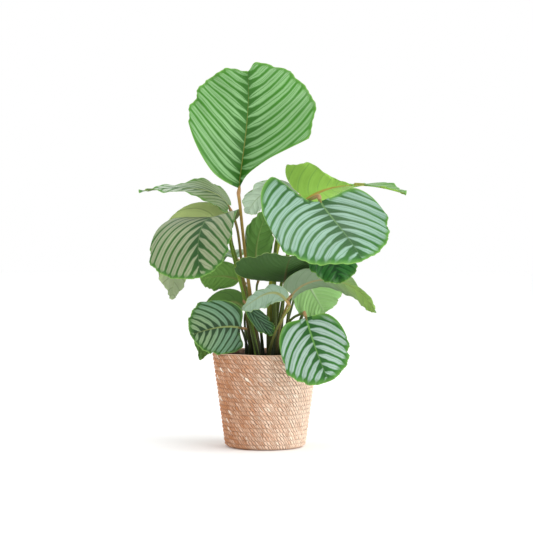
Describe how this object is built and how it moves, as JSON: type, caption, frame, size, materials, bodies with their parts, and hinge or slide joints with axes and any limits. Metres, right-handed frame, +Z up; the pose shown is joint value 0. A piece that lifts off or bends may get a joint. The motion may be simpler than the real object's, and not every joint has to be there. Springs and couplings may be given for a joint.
{
  "type": "potted calathea",
  "caption": "Round-leaved striped calathea growing in a nursery pot inside a tapered woven basket; free-standing.",
  "frame": {"origin": "under the pot's axis, on the surface that the basket stands on", "axes": "+Z up, -Y towards the front (the pictured side), +X to the viewer's right"},
  "size_m": [0.4579, 0.4147, 0.6496],
  "materials": {
    "basket": "twisted seagrass rope, matt",
    "grow_pot": "moulded nursery pot, dull",
    "soil": "damp potting soil, crumbly",
    "leaf": "satin leaf with silvery bands between dark veins, paler underside",
    "stem": "smooth green petiole with a pink knee"
  },
  "bodies": {
    "root": {"basket": "basket", "grow_pot": "grow_pot", "soil": "soil", "stem_top": "stem", "leaf_top": "leaf", "stem_left_high": "stem", "leaf_left_high": "leaf", "stem_left_front": "stem", "leaf_left_front": "leaf", "stem_left_back": "stem", "leaf_left_back": "leaf", "stem_left_small": "stem", "leaf_left_small": "leaf", "stem_low_left": "stem", "leaf_low_left": "leaf", "stem_low_left_back": "stem", "leaf_low_left_back": "leaf", "stem_right_front": "stem", "leaf_right_front": "leaf", "stem_right_back": "stem", "leaf_right_back": "leaf", "stem_pale_back": "stem", "leaf_pale_back": "leaf", "stem_centre_up": "stem", "leaf_centre_up": "leaf", "stem_centre_dark": "stem", "leaf_centre_dark": "leaf", "stem_right_dark": "stem", "leaf_right_dark": "leaf", "stem_right_mid": "stem", "leaf_right_mid": "leaf", "stem_right_pale": "stem", "leaf_right_pale": "leaf", "stem_grey_small": "stem", "leaf_grey_small": "leaf", "stem_low_right": "stem", "leaf_low_right": "leaf", "stem_inner_narrow": "stem", "leaf_inner_narrow": "leaf", "stem_back_high": "stem", "leaf_back_high": "leaf", "stem_back_left": "stem", "leaf_back_left": "leaf", "stem_back_low_right": "stem", "leaf_back_low_right": "leaf", "stem_back_low_left": "stem", "leaf_back_low_left": "leaf"}
  },
  "joints": []
}
